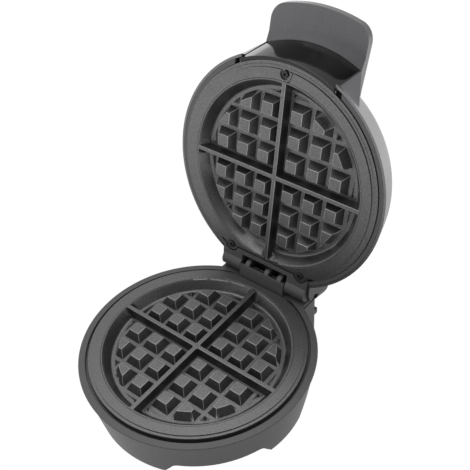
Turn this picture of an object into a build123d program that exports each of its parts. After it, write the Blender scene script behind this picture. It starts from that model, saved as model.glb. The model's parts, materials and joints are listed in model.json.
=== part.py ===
from build123d import *
import math
import os

os.makedirs("parts", exist_ok=True)

# Round waffle maker, drawn closed and written with the lid swung open.
# Drawn with its origin on the table under the middle of the plates, +Z up, +Y towards the hinge,
# and written with the origin under the middle of the open maker.

# Heights and the parting of the two halves
rim_height = 58.7
plate_gap = 1.0
open_angle = 101.5

# Waffle plates
plate_radius = 107.5
plate_skirt_depth = 7.0
plate_skirt_wall = 3.0
plate_thickness = 3.2
rim_step_width = 3.2
rim_step_depth = 1.0
recess_radius = 91.8
recess_depth = 10.5
recess_floor_radius = 86.0
recess_lip = 1.4
floor_thickness = 3.5
ridge_top = 4.0
ridge_base = 6.8
ridge_gap = 2.65
peg_top = 11.6
peg_base = 20.2
peg_spacing = 3.95
peg_height = 9.1
peg_circle = 82.0
peg_circle_top = 77.7
lower_chord = 102.5
upper_chord = 95.0
lobe_x = 43.0
lobe_y = 94.0
lobe_radius = 7.2
front_screw_y = 101.0
spot_face_depth = 0.6

# Base
frame_radius = 117.3
frame_lip = 6.8
frame_drop = 3.0
frame_edge = 4.0
frame_edge_draft = 1.8
ledge_radius = 94.0
ledge_thickness = 2.5
fit_gap = 0.3
foot_draft = 9.5
housing_wall = 2.5
housing_floor = 19.0
arch_roof = 0.9
arch_half_width = 51.0
arch_top_half_width = 41.5
arch_corner = 7.0
arch_turn = 40.5
foot_clearance = 1.0
deck_half_width = 53.0
deck_rear = 127.0
deck_drop = 0.3
housing_half_width = 54.0
housing_rear = 128.0
housing_corner = 6.0
bumper_height = 29.7
bumper_size = 7.0
bumper_proud = 1.5
floor_opening = 80.0
cover_radius = 92.0
cover_thickness = 3.0
cover_screw_circle = 86.0
frame_boss_inset = 12.8
boss_radius = 3.4
frame_screw_grip = 12.0
pad_circle = 100.0
pad_radius = 5.0
pad_thickness = 2.5
vent_length = 26.0
vent_width = 3.0

# Hinge
hinge_y = 114.1
hinge_rise = 6.9
pin_radius = 2.5
pin_length = 100.0
pin_clearance = 0.05
barrel_radius = 9.0
barrel_clearance = 0.4
slot_half_width = 28.3
slot_front = 100.5
block_half_width = 27.5
block_front = 103.0
block_lip_y = 106.0
block_lip_rise = 12.5
lug_width = 5.0
lug_foot = 14.0
lug_places = (-20.0, 4.0, 20.0)
panel_half_width = 52.0
panel_front = 96.0
panel_rise = 1.0
stop_gap = 0.4

# Lid
lip_rise = 3.5
lip_split = 2.7
lid_wall_rise = 29.0
lid_wall_inset = 8.3
shoulder_inset = 22.3
shoulder_rise = 43.7
bulge_inset = 13.3
bulge_rise = 37.2
crown_rise = 46.5
shell_wall = 2.5
shell_screw_inset = 15.9
shell_boss_rise = 34.0
hump_half_width = 55.0
hump_rear = 136.5
hump_corner = 16.0
hump_wall = 1.7

# Handle
visor_reach = 32.7
visor_half_width = 51.6
visor_corner = 17.0
visor_tip_top = 55.0
visor_tip = 7.5
visor_bend_reach = 9.5
visor_bend_rise = 45.6
insert_bottom_inset = 3.3
insert_flare = 4.5
insert_top_rise = 42.0
insert_half_width = 50.0
insert_wall = 3.0
jamb_proud = 0.6
jamb_inset = 0.5
cheek_half_width = 74.0
cheek_rise = 6.0
lip_notch_half_width = 57.0
tab_place = 30.0
tab_inset = 17.7
handle_root = 70.0
handle_root_y = 62.0
handle_root_rise = 48.6
visor_root = 100.0
hump_root = 76.0
hump_root_rise = 38.0
hump_top_rise = 44.0
tab_width = 10.0
tab_length = 9.0

# Heating and electrical pieces
element_circle = 62.0
element_radius = 3.2
element_gap = 20.0
element_rib = 2.0
element_rib_height = 4.5
terminal_radius = 1.6
terminal_length = 9.0
reflector_radius = 92.0
reflector_sheet = 0.8
reflector_depth = 12.0
reflector_hole = 24.0
reflector_flange = 97.5
post_circle = 75.0
post_radius = 4.0
post_grip = 8.0
thermostat_radius = 8.0
thermostat_height = 8.0
blade_x = 3.0
blade_sheet = 0.8
blade_width = 5.0
blade_length = 8.0
bracket_sheet = 1.0
bracket_width = 14.0
bracket_post_x = 17.0
bracket_post_radius = 3.4
fuse_radius = 2.0
fuse_length = 12.0
fuse_x = 40.0
fuse_lead_radius = 0.45
fuse_lead_length = 8.0
clip_sheet = 0.6
clip_width = 5.0
clip_foot = 4.0
block_length = 34.0
block_width = 16.0
block_height = 9.0
block_y = 52.0
block_hole = 2.2
block_hole_depth = 5.0
gland_radius = 5.5
gland_flange = 7.5
gland_bore = 3.6
gland_flange_thickness = 2.0
gland_rise = 29.0
clamp_length = 26.0
clamp_width = 8.0
clamp_thickness = 3.5
clamp_post_height = 7.0
clamp_post_x = 9.0
clamp_post_radius = 3.2
clamp_y = 110.0
lamp_x = 14.0
lamp_y = -46.0
lens_radius = 3.5
lens_flange = 5.0
lens_flange_height = 1.5
lens_proud = 1.2
lens_seat_rise = 41.5
lamp_radius = 2.0
lamp_length = 7.0
holder_sheet = 2.0
holder_post_x = 25.0
holder_post_radius = 3.2
holder_width = 12.0

# Screws
screw_radius = 1.5
screw_head = 2.7
screw_head_height = 2.0
plate_screw_radius = 2.0
plate_screw_head = 3.5
plate_screw_head_height = 2.2

# Derived sizes
frame_opening = frame_radius - frame_lip
foot_circle = frame_radius - foot_draft
frame_boss_circle = frame_radius - frame_boss_inset
arch_height = housing_floor - arch_roof
lid_radius = frame_radius
lip_split_radius = lid_radius - lip_split
wall_top_radius = lid_radius - lid_wall_inset
wall_lean = lid_wall_inset / (lid_wall_rise - lip_rise)
shoulder_radius = lid_radius - shoulder_inset
shell_screw_circle = lid_radius - shell_screw_inset
visor_radius = lid_radius + visor_reach
insert_bottom_radius = lid_radius - insert_bottom_inset
insert_top_radius = insert_bottom_radius + insert_flare
tab_y = lid_radius - tab_inset
swing = math.radians(open_angle)
tip_turned = (visor_radius + hinge_y) * math.cos(swing)
tip_raised = (visor_tip_top - hinge_rise) * math.sin(swing)
middle_y = (hinge_y - tip_turned + tip_raised - frame_radius) / 2
parting = rim_height + plate_gap / 2
upper_rim = rim_height + plate_gap
hinge_z = rim_height + hinge_rise
hinge_axis = Axis((0, hinge_y, hinge_z), (1, 0, 0))
peg_first = ridge_base / 2 + ridge_gap + peg_base / 2
peg_pitch = peg_base + peg_spacing
peg_draft = math.degrees(math.atan((peg_base - peg_top) / 2 / peg_height))
clip_draft = math.degrees(math.atan((peg_circle - peg_circle_top) / peg_height))
ridge_draft = math.degrees(math.atan((ridge_base - ridge_top) / 2 / recess_depth))
plate_back = recess_depth + floor_thickness
pan_radius = recess_radius + 2.7
pan_back_radius = recess_floor_radius + 1.0
frame_top = rim_height - frame_drop
frame_bottom = frame_top - frame_edge
ledge_bottom = rim_height - plate_skirt_depth - ledge_thickness
housing_top_radius = frame_radius - frame_edge_draft
housing_slope = (housing_top_radius - foot_circle) / frame_bottom
flange_top = housing_floor + housing_wall
reflector_floor = rim_height - plate_back - reflector_depth
hole_radius = screw_radius + pin_clearance
plate_hole = plate_screw_radius + pin_clearance
quarter_turns = (0, 90, 180, 270)
upper_ledge_top = upper_rim + plate_skirt_depth + ledge_thickness


def wall_radius(height):
    """Outer radius of the base housing at a height above the table."""
    return foot_circle + housing_slope * height


def placed(piece):
    """A piece moved so that the origin is under the middle of the open maker."""
    moved = piece.translate((0, -middle_y, 0), transform=True)
    moved.label = piece.label
    return moved


def opened(piece):
    """A lid piece, drawn closed, swung open about the hinge."""
    swung = piece.rotate(hinge_axis, -open_angle, transform=True)
    swung.label = piece.label
    return placed(swung)


def above_parting(piece):
    """A piece of the lower half turned over into the lid."""
    return mirror(piece, about=Plane.XY.offset(parting))


def ring_points(radius, angles):
    """Points on a circle about the middle, one for each angle."""
    return [
        (radius * math.cos(math.radians(a)), radius * math.sin(math.radians(a)))
        for a in angles
    ]


def screw(base, direction, radius, length, head, head_height):
    """A pan-head screw whose head stands on the face at base."""
    seat = Plane(origin=base, z_dir=direction)
    with BuildPart() as fastener:
        with BuildSketch(seat):
            Circle(head)
        extrude(amount=head_height)
        fillet(fastener.edges().sort_by(Axis(base, direction))[-1], head_height * 0.45)
        with BuildSketch(seat):
            Circle(radius)
        extrude(amount=-length)
    return fastener.part


def plate_outline(chord, lobes):
    """Plan of a waffle plate: a circle with a straight rear edge."""
    with BuildSketch() as outline:
        Circle(plate_radius)
        with Locations((0, chord + plate_radius)):
            Rectangle(2 * plate_radius, 2 * plate_radius, mode=Mode.SUBTRACT)
        if lobes:
            with Locations((-lobe_x, lobe_y), (lobe_x, lobe_y)):
                Circle(lobe_radius)
    return outline.sketch


def peg_field():
    """Tapered pegs of the four quarters, trimmed to a round outline."""
    steps = [peg_first + peg_pitch * i for i in range(4)]
    spots = [
        (sx * x, sy * y)
        for x in steps
        for y in steps
        if math.hypot(x - peg_base / 2, y - peg_base / 2) < peg_circle
        for sx in (-1, 1)
        for sy in (-1, 1)
    ]
    with BuildPart() as field:
        with BuildSketch(Plane.XY.offset(-recess_depth)):
            with Locations(*spots):
                Rectangle(peg_base, peg_base)
        extrude(amount=peg_height, taper=peg_draft)
        with BuildSketch(Plane.XY.offset(-recess_depth)):
            Circle(peg_circle)
        extrude(amount=peg_height, taper=clip_draft, mode=Mode.INTERSECT)
    return field.part


def ridge_cross():
    """The two ridges that part the quarters, as high as the rim."""
    with BuildPart() as ridges:
        with BuildSketch(Plane.XY.offset(-recess_depth)):
            Rectangle(2 * plate_radius, ridge_base)
            Rectangle(ridge_base, 2 * plate_radius)
        extrude(amount=recess_depth, taper=ridge_draft)
        with BuildSketch(Plane.XZ):
            with BuildLine():
                Polyline(
                    (0, -recess_depth),
                    (recess_floor_radius + 1, -recess_depth),
                    (recess_radius + recess_lip, 0),
                    (0, 0),
                    close=True,
                )
            make_face()
        revolve(axis=Axis.Z, mode=Mode.INTERSECT)
    return ridges.part


def waffle_plate(chord, lobes):
    """A plate with its rim at height zero, its pegs up and its pan below."""
    outline = plate_outline(chord, lobes)
    pegs = peg_field()
    ridges = ridge_cross()
    with BuildPart() as plate:
        with BuildSketch(Plane.XY.offset(-plate_skirt_depth)):
            add(outline)
        extrude(amount=plate_skirt_depth - rim_step_depth)
        outer_edge = plate.edges().group_by(Axis.Z)[-1]
        fillet(outer_edge, 0.8)
        with BuildSketch(Plane.XY.offset(-rim_step_depth)):
            offset(outline, -rim_step_width)
        extrude(amount=rim_step_depth)
        with BuildSketch(Plane.XY.offset(-plate_skirt_depth)):
            offset(outline, -plate_skirt_wall)
        extrude(amount=plate_skirt_depth - plate_thickness, mode=Mode.SUBTRACT)
        with BuildSketch(Plane.XZ):
            with BuildLine():
                Polyline(
                    (0, -rim_step_depth),
                    (pan_radius, -rim_step_depth),
                    (pan_radius, -plate_thickness),
                    (pan_back_radius, -plate_back),
                    (0, -plate_back),
                    close=True,
                )
            make_face()
        revolve(axis=Axis.Z)
        with BuildSketch(Plane.XZ) as recess:
            with BuildLine():
                Polyline(
                    (0, 0.5),
                    (recess_radius + recess_lip, 0.5),
                    (recess_radius + recess_lip, 0),
                    (recess_radius, -recess_lip),
                    (recess_floor_radius, -recess_depth),
                    (0, -recess_depth),
                    close=True,
                )
            make_face()
            corner = recess.vertices().sort_by_distance((recess_floor_radius, -recess_depth))[0]
            fillet(corner, 3.0)
            lip = recess.vertices().sort_by_distance((recess_radius, -recess_lip))[0]
            fillet(lip, 1.0)
        revolve(axis=Axis.Z, mode=Mode.SUBTRACT)
        add(ridges)
        add(pegs)
    return plate.part


def plate_back_details(plate):
    """Ribs that hold the heating element, and the posts, on a plate's back."""
    back = Plane.XY.offset(rim_height - plate_back)
    bracket_drop = thermostat_height
    with BuildPart() as detailed:
        add(plate)
        with BuildSketch(back):
            for side in (-1, 1):
                middle = element_circle + side * (element_radius + fit_gap + element_rib / 2)
                with BuildSketch(mode=Mode.PRIVATE) as rib:
                    Circle(middle + element_rib / 2)
                    Circle(middle - element_rib / 2, mode=Mode.SUBTRACT)
                    with Locations((0, element_circle)):
                        Rectangle(element_gap * 2, element_circle, mode=Mode.SUBTRACT)
                add(rib.sketch)
        extrude(amount=-element_rib_height)
        with BuildSketch(back):
            with Locations(*ring_points(post_circle, (45, 135, 225, 315))):
                Circle(post_radius)
        extrude(amount=-reflector_depth)
        with BuildSketch(back):
            with Locations((-bracket_post_x, 0), (bracket_post_x, 0)):
                Circle(bracket_post_radius)
        extrude(amount=-bracket_drop)
        with BuildSketch(back.offset(-reflector_depth)):
            with Locations(*ring_points(post_circle, (45, 135, 225, 315))):
                Circle(hole_radius)
        extrude(amount=reflector_depth, mode=Mode.SUBTRACT)
        with BuildSketch(back.offset(-bracket_drop)):
            with Locations((-bracket_post_x, 0), (bracket_post_x, 0)):
                Circle(hole_radius)
        extrude(amount=bracket_drop, mode=Mode.SUBTRACT)
    return detailed.part


# Lower waffle plate
lower_face = waffle_plate(lower_chord, False)
with BuildPart() as lower_plate_blank:
    with Locations((0, 0, rim_height)):
        add(lower_face)
with BuildPart() as lower_plate:
    add(plate_back_details(lower_plate_blank.part))
lower_plate.part.label = "lower_plate"
export_step(placed(lower_plate.part), "parts/lower_plate.step")

# Upper waffle plate, turned over, with its three screw holes
upper_face = waffle_plate(upper_chord, True)
with BuildPart() as upper_plate_blank:
    with Locations((0, 0, rim_height)):
        add(upper_face)
upper_screw_spots = [(-lobe_x, lobe_y), (lobe_x, lobe_y), (0, -front_screw_y)]
with BuildPart() as upper_plate:
    add(above_parting(plate_back_details(upper_plate_blank.part)))
    with BuildSketch(Plane.XY.offset(upper_rim)):
        with Locations(*upper_screw_spots):
            Circle(plate_screw_head + 1.6)
    extrude(amount=rim_step_depth + spot_face_depth, mode=Mode.SUBTRACT)
    with BuildSketch(Plane.XY.offset(upper_rim + rim_step_depth + spot_face_depth)):
        with Locations(*upper_screw_spots):
            Circle(plate_screw_head + 1.6)
    extrude(amount=plate_skirt_depth - rim_step_depth - spot_face_depth)
    with BuildSketch(Plane.XY.offset(upper_rim)):
        with Locations(*upper_screw_spots):
            Circle(plate_hole)
    extrude(amount=plate_skirt_depth, mode=Mode.SUBTRACT)
upper_plate.part.label = "upper_plate"
export_step(opened(upper_plate.part), "parts/upper_plate.step")

# Screws that hold the upper plate to the lid frame
with BuildPart() as upper_plate_screws:
    for x, y in upper_screw_spots:
        add(
            screw(
                (x, y, upper_rim + rim_step_depth + spot_face_depth),
                (0, 0, -1),
                plate_screw_radius,
                plate_skirt_depth + ledge_thickness - rim_step_depth - spot_face_depth,
                plate_screw_head,
                plate_screw_head_height,
            )
        )
upper_plate_screws.part.label = "upper_plate_screws"
export_step(opened(upper_plate_screws.part), "parts/upper_plate_screws.step")

# Frame round the lower plate, with the rear deck and the middle hinge block
with BuildPart() as base_frame:
    with BuildSketch(Plane.XY.offset(frame_bottom)) as deck_plan:
        with Locations((0, deck_rear / 2)):
            Rectangle(2 * deck_half_width, deck_rear)
        fillet(deck_plan.vertices().group_by(Axis.Y)[-1], housing_corner - 1)
    extrude(amount=frame_edge - deck_drop)
    fillet(base_frame.edges().group_by(Axis.Z)[-1], 1.2)
    with BuildSketch(Plane.XZ) as ring_section:
        with BuildLine():
            Polyline(
                (0, frame_bottom),
                (housing_top_radius, frame_bottom),
                (frame_radius, frame_top - 1.2),
                (frame_radius - 0.6, frame_top),
                (0, frame_top),
                close=True,
            )
        make_face()
        fillet(ring_section.vertices().sort_by_distance((frame_radius, frame_top - 1))[:2], 0.6)
    revolve(axis=Axis.Z)
    with BuildSketch(Plane.XY.offset(frame_bottom)) as opening_plan:
        Circle(frame_opening)
        with Locations((0, lower_chord + 0.8 + frame_opening)):
            Rectangle(2 * frame_opening, 2 * frame_opening, mode=Mode.SUBTRACT)
    extrude(amount=frame_edge, mode=Mode.SUBTRACT)
    with BuildSketch(Plane.XY.offset(ledge_bottom)):
        Circle(wall_radius(ledge_bottom) - housing_wall - fit_gap)
        Circle(ledge_radius, mode=Mode.SUBTRACT)
    extrude(amount=ledge_thickness)
    with BuildSketch(Plane.YZ.offset(-block_half_width)):
        with BuildLine():
            Polyline(
                (block_front, frame_top - 1),
                (block_front + 0.4, rim_height + 3),
                (block_lip_y - 0.6, rim_height + block_lip_rise - 1.4),
                (block_lip_y, rim_height + block_lip_rise),
                (block_lip_y + 1.8, rim_height + block_lip_rise),
                (block_lip_y + 1.9, rim_height + block_lip_rise - 2),
                (block_front + 3.4, rim_height + 3),
                (block_front + 3.0, frame_top - 1),
                close=True,
            )
        make_face()
    extrude(amount=2 * block_half_width)
    for place in lug_places:
        with BuildSketch(Plane.YZ.offset(place - lug_width / 2)):
            with Locations((hinge_y, hinge_z)):
                Circle(barrel_radius)
            with Locations((hinge_y, (hinge_z + frame_top - 1) / 2)):
                Rectangle(lug_foot, hinge_z - frame_top + 1)
            with Locations((hinge_y, hinge_z)):
                Circle(pin_radius + pin_clearance / 2, mode=Mode.SUBTRACT)
        extrude(amount=lug_width)
    with BuildSketch(Plane.XY.offset(flange_top)):
        with Locations(*ring_points(frame_boss_circle, (45, 135, 225, 315))):
            Circle(boss_radius)
    extrude(amount=ledge_bottom - flange_top)
    with BuildSketch(Plane.XY.offset(flange_top)):
        with Locations(*ring_points(frame_boss_circle, (45, 135, 225, 315))):
            Circle(hole_radius)
    extrude(amount=16, mode=Mode.SUBTRACT)
base_frame.part.label = "base_frame"
export_step(placed(base_frame.part), "parts/base_frame.step")

# Base housing: a tapered tub on four lobed feet, with the square rear housing
with BuildPart() as base_housing:
    with BuildSketch(Plane.XZ):
        with BuildLine():
            Polyline(
                (0, foot_clearance),
                (wall_radius(foot_clearance), foot_clearance),
                (housing_top_radius, frame_bottom),
                (0, frame_bottom),
                close=True,
            )
        make_face()
    revolve(axis=Axis.Z)
    with BuildSketch(Plane.XY.offset(foot_clearance)) as rear_plan:
        with Locations((0, housing_rear / 2)):
            Rectangle(2 * housing_half_width, housing_rear)
        fillet(rear_plan.vertices().group_by(Axis.Y)[-1], housing_corner)
    extrude(amount=frame_bottom - foot_clearance)
    # hollow above the floor
    with BuildSketch(Plane.XZ):
        with BuildLine():
            Polyline(
                (0, flange_top),
                (wall_radius(flange_top) - housing_wall, flange_top),
                (housing_top_radius - housing_wall, frame_bottom),
                (0, frame_bottom),
                close=True,
            )
        make_face()
    revolve(axis=Axis.Z, mode=Mode.SUBTRACT)
    with BuildSketch(Plane.XY.offset(flange_top)) as rear_room:
        with Locations((0, (housing_rear - housing_wall) / 2)):
            Rectangle(2 * (housing_half_width - housing_wall), housing_rear - housing_wall)
        fillet(rear_room.vertices().group_by(Axis.Y)[-1], housing_corner - housing_wall)
    extrude(amount=frame_bottom - flange_top, mode=Mode.SUBTRACT)
    # hollow under the floor
    with BuildSketch(Plane.XZ):
        with BuildLine():
            Polyline(
                (0, foot_clearance),
                (wall_radius(foot_clearance) - housing_wall, foot_clearance),
                (wall_radius(housing_floor) - housing_wall, housing_floor),
                (0, housing_floor),
                close=True,
            )
        make_face()
    revolve(axis=Axis.Z, mode=Mode.SUBTRACT)
    with BuildSketch(Plane.XY.offset(foot_clearance)) as rear_under:
        with Locations((0, (housing_rear - housing_wall) / 2)):
            Rectangle(2 * (housing_half_width - housing_wall), housing_rear - housing_wall)
        fillet(rear_under.vertices().group_by(Axis.Y)[-1], housing_corner - housing_wall)
    extrude(amount=housing_floor - foot_clearance, mode=Mode.SUBTRACT)
    with BuildSketch(Plane.XY.offset(housing_floor)):
        Circle(floor_opening)
    extrude(amount=housing_wall, mode=Mode.SUBTRACT)
    # shallow arches between the feet
    arch_slope = (arch_half_width - arch_top_half_width) / (arch_height - foot_clearance)
    arch_low = arch_half_width + 2 * arch_slope
    for turn in (arch_turn, 180 - arch_turn, 180 + arch_turn, 360 - arch_turn):
        arch_plane = Plane.XZ.rotated((0, 0, turn + 90)).offset(foot_circle - 20)
        with BuildSketch(arch_plane) as arch:
            with BuildLine():
                Polyline(
                    (-arch_low, foot_clearance - 2),
                    (arch_low, foot_clearance - 2),
                    (arch_top_half_width, arch_height),
                    (-arch_top_half_width, arch_height),
                    close=True,
                )
            make_face()
            fillet(arch.vertices().group_by(Axis.Y)[-1], arch_corner)
        extrude(amount=40, mode=Mode.SUBTRACT)
    # seats of the rubber pads
    pad_spots = ring_points(pad_circle, (180, 270, 0))
    rear_pad_spots = [(side * (housing_half_width - 12), housing_rear - 12) for side in (-1, 1)]
    with BuildSketch(Plane.XY.offset(pad_thickness)):
        with Locations(*pad_spots, *rear_pad_spots):
            Circle(pad_radius + 2)
    extrude(amount=housing_floor - pad_thickness)
    # screw holes of the cover and of the frame
    with BuildSketch(Plane.XY.offset(housing_floor)):
        with Locations(*ring_points(frame_boss_circle, (45, 135, 225, 315))):
            Circle(hole_radius)
        with Locations(*ring_points(cover_screw_circle, (0, 90, 180, 270))):
            Circle(hole_radius)
    extrude(amount=housing_wall, mode=Mode.SUBTRACT)
    # hole of the cord gland
    with BuildSketch(Plane.XZ.offset(-housing_rear)):
        with Locations((0, gland_rise)):
            Circle(gland_radius + pin_clearance)
    extrude(amount=housing_wall, mode=Mode.SUBTRACT)
    # posts of the cord clamp
    with BuildSketch(Plane.XY.offset(flange_top)):
        with Locations((-clamp_post_x, clamp_y), (clamp_post_x, clamp_y)):
            Circle(clamp_post_radius)
            Circle(hole_radius, mode=Mode.SUBTRACT)
    extrude(amount=clamp_post_height)
    # bumpers on the rear corners
    for side in (-1, 1):
        with Locations((side * (housing_half_width - 4), housing_rear - 1, bumper_height)):
            Box(bumper_size, 2 * bumper_proud + 2, bumper_size)
base_housing.part.label = "base_housing"
export_step(placed(base_housing.part), "parts/base_housing.step")

# Bottom cover with its vent slots
with BuildPart() as bottom_cover:
    with BuildSketch(Plane.XY.offset(housing_floor - cover_thickness)):
        Circle(cover_radius)
        with PolarLocations((floor_opening + vent_length) / 2, 12):
            SlotOverall(vent_length, vent_width, mode=Mode.SUBTRACT)
        with Locations(*ring_points(cover_screw_circle, (0, 90, 180, 270))):
            Circle(hole_radius, mode=Mode.SUBTRACT)
    extrude(amount=cover_thickness)
    fillet(bottom_cover.edges().group_by(Axis.Z)[0].sort_by(SortBy.LENGTH)[-1], 1.0)
bottom_cover.part.label = "bottom_cover"
export_step(placed(bottom_cover.part), "parts/bottom_cover.step")

# Screws of the bottom cover, from below
with BuildPart() as cover_screws:
    for x, y in ring_points(cover_screw_circle, quarter_turns):
        spot = (x, y, housing_floor - cover_thickness)
        length = cover_thickness + housing_wall
        add(screw(spot, (0, 0, -1), screw_radius, length, screw_head, screw_head_height))
cover_screws.part.label = "cover_screws"
export_step(placed(cover_screws.part), "parts/cover_screws.step")

# Screws that hold the base frame, from below
with BuildPart() as frame_screws:
    for x, y in ring_points(frame_boss_circle, (45, 135, 225, 315)):
        spot = (x, y, housing_floor)
        length = housing_wall + frame_screw_grip
        add(screw(spot, (0, 0, -1), screw_radius, length, screw_head, screw_head_height))
frame_screws.part.label = "frame_screws"
export_step(placed(frame_screws.part), "parts/frame_screws.step")

# Rubber pads under the feet
with BuildPart() as foot_pads:
    with BuildSketch():
        with Locations(*pad_spots, *rear_pad_spots):
            Circle(pad_radius)
    extrude(amount=pad_thickness)
    fillet(foot_pads.edges().group_by(Axis.Z)[0], 0.6)
foot_pads.part.label = "foot_pads"
export_step(placed(foot_pads.part), "parts/foot_pads.step")

# Hinge pin
with BuildPart() as hinge_pin:
    with BuildSketch(Plane.YZ.offset(-pin_length / 2)):
        with Locations((hinge_y, hinge_z)):
            Circle(pin_radius)
    extrude(amount=pin_length)
    chamfer(hinge_pin.edges().filter_by(GeomType.CIRCLE), 0.4)
hinge_pin.part.label = "hinge_pin"
export_step(placed(hinge_pin.part), "parts/hinge_pin.step")

# Tubular heating element, clamped between the ribs of the plate, with its two pins
element_z = rim_height - plate_back - element_radius - 0.1
element_half_angle = math.degrees(math.asin(element_gap / element_circle))
leg_bottom = reflector_floor - reflector_sheet - 3.0
leg_spots = ring_points(element_circle, (90 - element_half_angle, 90 + element_half_angle))
with BuildPart() as lower_element:
    start = Plane.XZ.rotated((0, 0, 90 + element_half_angle))
    with BuildSketch(start):
        with Locations((element_circle, element_z)):
            Circle(element_radius)
    revolve(axis=Axis.Z, revolution_arc=360 - 2 * element_half_angle)
    for x, y in leg_spots:
        with Locations((x, y, element_z)):
            Sphere(element_radius)
        with BuildSketch(Plane.XY.offset(leg_bottom)):
            with Locations((x, y)):
                Circle(element_radius)
        extrude(amount=element_z - leg_bottom)
        with BuildSketch(Plane.XY.offset(leg_bottom - terminal_length)):
            with Locations((x, y)):
                Circle(terminal_radius)
        extrude(amount=terminal_length)
lower_element.part.label = "lower_element"
export_step(placed(lower_element.part), "parts/lower_element.step")

with BuildPart() as upper_element:
    add(above_parting(lower_element.part))
upper_element.part.label = "upper_element"
export_step(opened(upper_element.part), "parts/upper_element.step")

# Sheet-metal dish under the plate, clamped to its posts
reflector_spots = ring_points(post_circle, (45, 135, 225, 315))
with BuildPart() as lower_reflector:
    with BuildSketch(Plane.XZ):
        with BuildLine():
            Polyline(
                (0, reflector_floor),
                (reflector_radius, reflector_floor),
                (reflector_radius, ledge_bottom),
                (reflector_flange, ledge_bottom),
                (reflector_flange, ledge_bottom - reflector_sheet),
                (reflector_radius + reflector_sheet, ledge_bottom - reflector_sheet),
                (reflector_radius + reflector_sheet, reflector_floor - reflector_sheet),
                (0, reflector_floor - reflector_sheet),
                close=True,
            )
        make_face()
    revolve(axis=Axis.Z)
    with BuildSketch(Plane.XY.offset(reflector_floor - reflector_sheet)):
        Circle(reflector_hole)
        with Locations(*leg_spots):
            Circle(element_radius + 1.0)
        with Locations(*reflector_spots):
            Circle(hole_radius)
    extrude(amount=reflector_sheet, mode=Mode.SUBTRACT)
lower_reflector.part.label = "lower_reflector"
export_step(placed(lower_reflector.part), "parts/lower_reflector.step")

with BuildPart() as upper_reflector:
    add(above_parting(lower_reflector.part))
upper_reflector.part.label = "upper_reflector"
export_step(opened(upper_reflector.part), "parts/upper_reflector.step")

# Screws of the reflectors
with BuildPart() as lower_reflector_screws:
    for x, y in reflector_spots:
        spot = (x, y, reflector_floor - reflector_sheet)
        length = reflector_sheet + post_grip
        add(screw(spot, (0, 0, -1), screw_radius, length, screw_head, screw_head_height))
lower_reflector_screws.part.label = "lower_reflector_screws"
export_step(placed(lower_reflector_screws.part), "parts/lower_reflector_screws.step")

with BuildPart() as upper_reflector_screws:
    add(above_parting(lower_reflector_screws.part))
upper_reflector_screws.part.label = "upper_reflector_screws"
export_step(opened(upper_reflector_screws.part), "parts/upper_reflector_screws.step")

# Thermostat pressed to the lower plate by its bracket
thermostat_bottom = rim_height - plate_back - thermostat_height
with BuildPart() as thermostat:
    with BuildSketch(Plane.XY.offset(thermostat_bottom)):
        Circle(thermostat_radius)
    extrude(amount=thermostat_height)
    chamfer(thermostat.edges().group_by(Axis.Z)[0], 0.6)
    with BuildSketch(Plane.XY.offset(thermostat_bottom - blade_length)):
        with Locations((-blade_x, 0), (blade_x, 0)):
            Rectangle(blade_sheet, blade_width)
    extrude(amount=blade_length)
thermostat.part.label = "thermostat"
export_step(placed(thermostat.part), "parts/thermostat.step")

with BuildPart() as thermostat_bracket:
    with BuildSketch(Plane.XY.offset(thermostat_bottom - bracket_sheet)):
        SlotCenterToCenter(2 * bracket_post_x, bracket_width - 4)
        Circle(bracket_width / 2 + 1)
        Circle(thermostat_radius - 2, mode=Mode.SUBTRACT)
        with Locations((-bracket_post_x, 0), (bracket_post_x, 0)):
            Circle(hole_radius, mode=Mode.SUBTRACT)
    extrude(amount=bracket_sheet)
thermostat_bracket.part.label = "thermostat_bracket"
export_step(placed(thermostat_bracket.part), "parts/thermostat_bracket.step")

with BuildPart() as bracket_screws:
    for x in (-bracket_post_x, bracket_post_x):
        spot = (x, 0, thermostat_bottom - bracket_sheet)
        length = bracket_sheet + thermostat_height - 2
        add(screw(spot, (0, 0, -1), screw_radius, length, screw_head, screw_head_height))
bracket_screws.part.label = "bracket_screws"
export_step(placed(bracket_screws.part), "parts/bracket_screws.step")

# Thermal fuse and its clip on the back of each plate
fuse_z = rim_height - plate_back - fuse_radius - 0.1
with BuildPart() as lower_fuse:
    with BuildSketch(Plane.XZ.offset(-fuse_length / 2)):
        with Locations((fuse_x, fuse_z)):
            Circle(fuse_radius)
    extrude(amount=fuse_length)
    with BuildSketch(Plane.XZ.offset(-fuse_length / 2 - fuse_lead_length)):
        with Locations((fuse_x, fuse_z)):
            Circle(fuse_lead_radius)
    extrude(amount=fuse_length + 2 * fuse_lead_length)
lower_fuse.part.label = "lower_fuse"
export_step(placed(lower_fuse.part), "parts/lower_fuse.step")

with BuildPart() as upper_fuse:
    add(above_parting(lower_fuse.part))
upper_fuse.part.label = "upper_fuse"
export_step(opened(upper_fuse.part), "parts/upper_fuse.step")

clip_inside = fuse_radius + 0.1
clip_outside = clip_inside + clip_sheet
clip_seat = rim_height - plate_back
with BuildPart() as lower_fuse_clip:
    with BuildSketch(Plane.XZ.offset(-clip_width / 2)):
        with Locations((fuse_x, fuse_z)):
            Circle(clip_outside)
        with Locations((fuse_x, (fuse_z + clip_seat) / 2)):
            Rectangle(2 * clip_outside, clip_seat - fuse_z)
        with Locations((fuse_x, clip_seat - clip_sheet / 2)):
            Rectangle(2 * (clip_outside + clip_foot), clip_sheet)
        with Locations((fuse_x, fuse_z)):
            Circle(clip_inside, mode=Mode.SUBTRACT)
        with Locations((fuse_x, (fuse_z + clip_seat) / 2)):
            Rectangle(2 * clip_inside, clip_seat - fuse_z, mode=Mode.SUBTRACT)
        with Locations((fuse_x, clip_seat + clip_outside)):
            Rectangle(4 * clip_outside, 2 * clip_outside, mode=Mode.SUBTRACT)
    extrude(amount=clip_width)
lower_fuse_clip.part.label = "lower_fuse_clip"
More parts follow.
